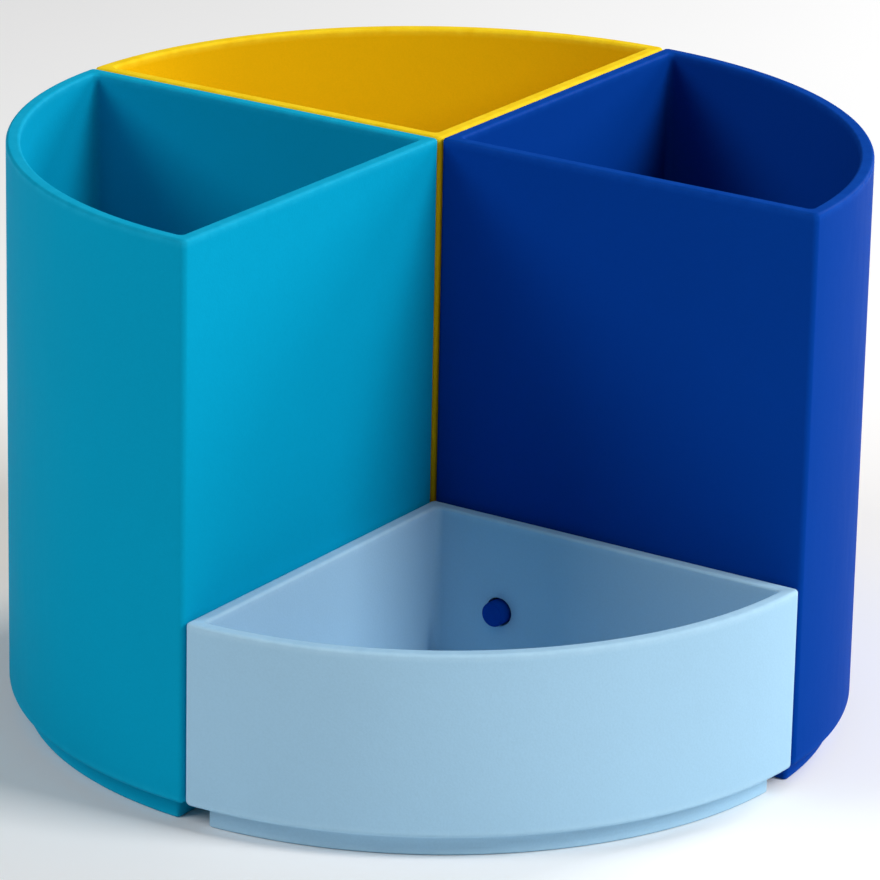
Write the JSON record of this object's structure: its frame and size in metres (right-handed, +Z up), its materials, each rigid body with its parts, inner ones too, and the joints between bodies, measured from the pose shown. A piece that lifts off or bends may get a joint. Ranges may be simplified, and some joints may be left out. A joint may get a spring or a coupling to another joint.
{
  "type": "desk organizer",
  "caption": "Round desk organizer made of tall and low quarter-round containers with flat floors, joined side by side by short studs in round holes.",
  "frame": {"origin": "on the upright line where the flat walls of all the containers meet, at the level of the table", "axes": "+Z up; the upright planes x = 0 and y = 0 are the two planes along which the organizer comes apart; the low tray is in the quadrant between +X and -Y"},
  "size_m": [0.15, 0.15, 0.1035],
  "materials": {
    "turquoise_plastic": "satin",
    "yellow_plastic": "satin",
    "navy_plastic": "satin",
    "light_blue_plastic": "satin"
  },
  "bodies": {
    "yellow_pot_body": {"yellow_pot": "yellow_plastic"},
    "turquoise_pot_body": {"turquoise_pot": "turquoise_plastic"},
    "navy_pot_body": {"navy_pot": "navy_plastic"},
    "light_blue_tray_body": {"light_blue_tray": "light_blue_plastic"}
  },
  "joints": [
    {"name": "turquoise_pot_pull", "type": "slide", "parent": "yellow_pot_body", "child": "turquoise_pot_body", "axis": [0, -1, 0], "range_m": [0, 0.04]},
    {"name": "navy_pot_pull", "type": "slide", "parent": "yellow_pot_body", "child": "navy_pot_body", "axis": [1, 0, 0], "range_m": [0, 0.04]},
    {"name": "tray_pull", "type": "slide", "parent": "turquoise_pot_body", "child": "light_blue_tray_body", "axis": [1, 0, 0], "range_m": [0, 0.04]}
  ],
  "couplings": [
    {"joint": "tray_pull", "follows": "navy_pot_pull", "ratio": 1}
  ]
}
